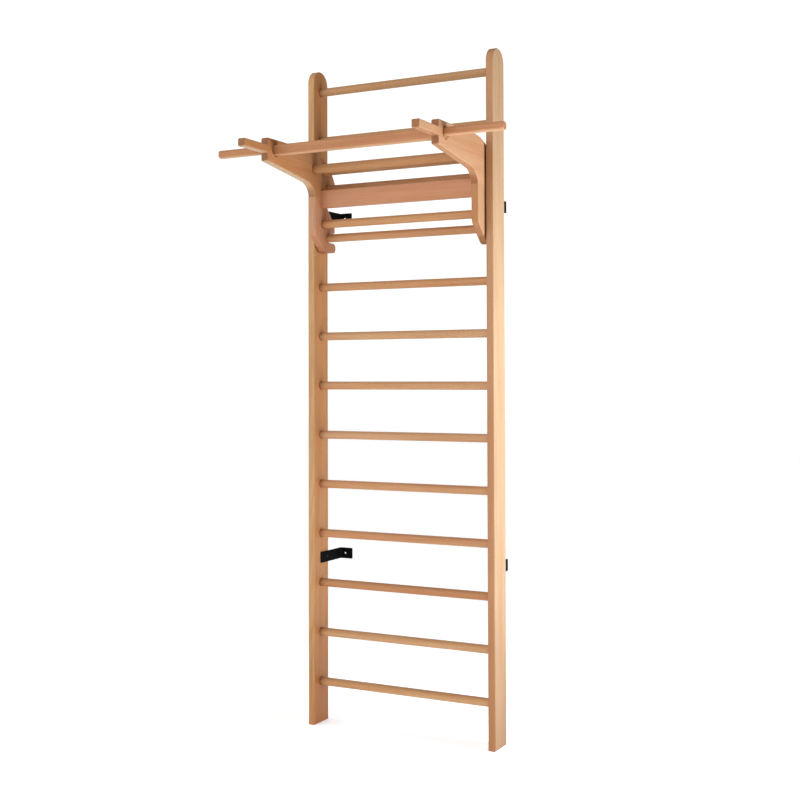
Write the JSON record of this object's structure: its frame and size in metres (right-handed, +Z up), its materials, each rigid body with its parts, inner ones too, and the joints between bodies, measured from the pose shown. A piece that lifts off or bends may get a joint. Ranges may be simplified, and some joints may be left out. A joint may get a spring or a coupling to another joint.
{
  "type": "wall bars with pull-up bar",
  "caption": "Wooden wall bars: two uprights joined by a ladder of round rungs, on steel wall angles, with a hook-on pull-up frame.",
  "frame": {"origin": "on the floor, midway between the uprights, and midway between the wall plane and the tips of the forward grips", "axes": "+Z up along the uprights, +X to the right along the rungs, +Y into the wall"},
  "size_m": [1.09, 0.675, 2.3999],
  "materials": {
    "upright_wood": "satin varnished beech",
    "rung_wood": "satin varnished beech",
    "plate_wood": "satin varnished beech",
    "leg_wood": "satin varnished beech",
    "crossbar_wood": "satin varnished beech",
    "dowel_wood": "satin varnished beech",
    "board_wood": "satin varnished beech",
    "pin_wood": "raw beech",
    "black_steel": "black powder coat",
    "screw_steel": "black oxide"
  },
  "bodies": {
    "wall_frame": {"left_upright": "upright_wood", "right_upright": "upright_wood", "rung_01": "rung_wood", "rung_02": "rung_wood", "rung_03": "rung_wood", "rung_04": "rung_wood", "rung_05": "rung_wood", "rung_06": "rung_wood", "rung_07": "rung_wood", "rung_08": "rung_wood", "rung_09": "rung_wood", "rung_10": "rung_wood", "rung_11": "rung_wood", "rung_12": "rung_wood", "rung_13": "rung_wood", "wall_bracket_lower_left": "black_steel", "wall_bracket_lower_right": "black_steel", "wall_bracket_upper_left": "black_steel", "wall_bracket_upper_right": "black_steel", "wall_bracket_screws": "screw_steel"},
    "pullup_frame": {"left_plate_arm": "plate_wood", "left_plate_leg": "leg_wood", "right_plate_arm": "plate_wood", "right_plate_leg": "leg_wood", "crossbar": "crossbar_wood", "front_dowel": "dowel_wood", "rear_dowel": "dowel_wood", "lower_dowel": "dowel_wood", "spreader_board": "board_wood", "plate_joint_pins": "pin_wood", "board_pins": "pin_wood"}
  },
  "joints": [
    {"name": "hook_swing", "type": "hinge", "parent": "wall_frame", "child": "pullup_frame", "pos_m": [0, 0.2005, 1.9605], "axis": [-1, 0, 0], "range_deg": [0, 35]}
  ]
}
